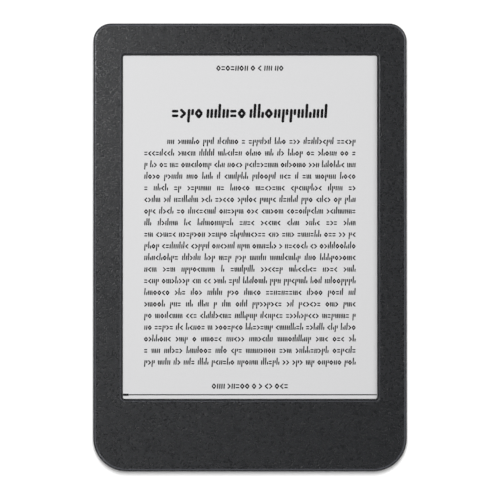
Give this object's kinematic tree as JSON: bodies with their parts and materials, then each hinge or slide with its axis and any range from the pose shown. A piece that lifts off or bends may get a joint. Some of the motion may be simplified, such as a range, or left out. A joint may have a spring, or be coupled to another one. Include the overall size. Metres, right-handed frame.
{
  "type": "e-reader",
  "caption": "Slim black e-reader lying on its back, with a recessed grey reflective display in a bevelled frame, a wide chin, a USB-C port and a round power button on the back.",
  "frame": {"origin": "middle of the footprint, on the surface that the reader lies on", "axes": "+Z out of the screen, +Y to the top edge, +X to the right-hand edge as the reader sees it"},
  "size_m": [0.112, 0.16, 0.0092],
  "materials": {
    "frame_plastic": "fine moulded texture",
    "cover_plastic": "moulded with fine raised dots",
    "button_plastic": "satin",
    "silicone": "matt",
    "cast_magnesium": "chromate-treated, dull",
    "screw_steel": "black zinc",
    "foam_tape": "matt",
    "clear_film": "anti-glare, matt",
    "clear_acrylic": "polished",
    "ink_layer": "matt, pale grey",
    "display_glass": "polished",
    "chip_silicon": "polished",
    "polyimide_flex": "satin",
    "led_package": "moulded",
    "circuit_board": "solder mask",
    "chip_epoxy": "moulded",
    "tinned_steel": "tinned",
    "connector_plastic": "moulded",
    "connector_black": "moulded",
    "gold_contact": "plated",
    "pouch_foil": "laminated foil",
    "wire_insulation": "satin"
  },
  "bodies": {
    "housing": {"front_frame": "frame_plastic", "rear_cover": "cover_plastic", "perimeter_seal": "silicone", "usb_seal": "silicone", "button_membrane": "silicone", "midframe": "cast_magnesium", "midframe_screws": "screw_steel", "board_screws": "screw_steel", "screen_gasket": "foam_tape", "panel_tape": "foam_tape", "battery_tape": "foam_tape", "touch_film": "clear_film", "light_guide": "clear_acrylic", "light_pipe": "clear_acrylic", "ink_laminate": "ink_layer", "display_backplane": "display_glass", "display_drivers": "chip_silicon", "display_flex": "polyimide_flex", "touch_flex": "polyimide_flex", "frontlight_flex": "polyimide_flex", "frontlight_leds": "led_package", "status_led": "led_package", "mainboard": "circuit_board", "battery_board": "circuit_board", "processor": "chip_epoxy", "memory_chip": "chip_epoxy", "storage_chip": "chip_epoxy", "power_chip": "chip_epoxy", "touch_controller": "chip_epoxy", "hall_sensor": "chip_epoxy", "passives": "chip_epoxy", "switch_body": "chip_epoxy", "shield_can": "tinned_steel", "wifi_module": "tinned_steel", "wifi_antenna": "tinned_steel", "usb_shell": "tinned_steel", "switch_dome": "tinned_steel", "display_connector": "connector_plastic", "touch_connector": "connector_plastic", "frontlight_connector": "connector_plastic", "battery_plug": "connector_plastic", "battery_socket": "connector_plastic", "usb_tongue": "connector_black", "usb_contacts": "gold_contact", "battery_cell": "pouch_foil", "battery_leads": "wire_insulation"},
    "power_button": {"power_button": "button_plastic"},
    "switch_plunger": {"switch_plunger": "connector_black"}
  },
  "joints": [
    {"name": "power_button_press", "type": "slide", "parent": "housing", "child": "power_button", "axis": [0, 0, 1], "range_m": [0, 0.0003], "stiffness_N_per_m": 1500, "springref_m": -0.0004, "deforming": ["button_membrane", "switch_dome"]},
    {"name": "switch_plunger_travel", "type": "slide", "parent": "housing", "child": "switch_plunger", "axis": [0, 0, 1], "range_m": [0, 0.0003]}
  ],
  "couplings": [
    {"joint": "switch_plunger_travel", "follows": "power_button_press", "ratio": 1}
  ]
}
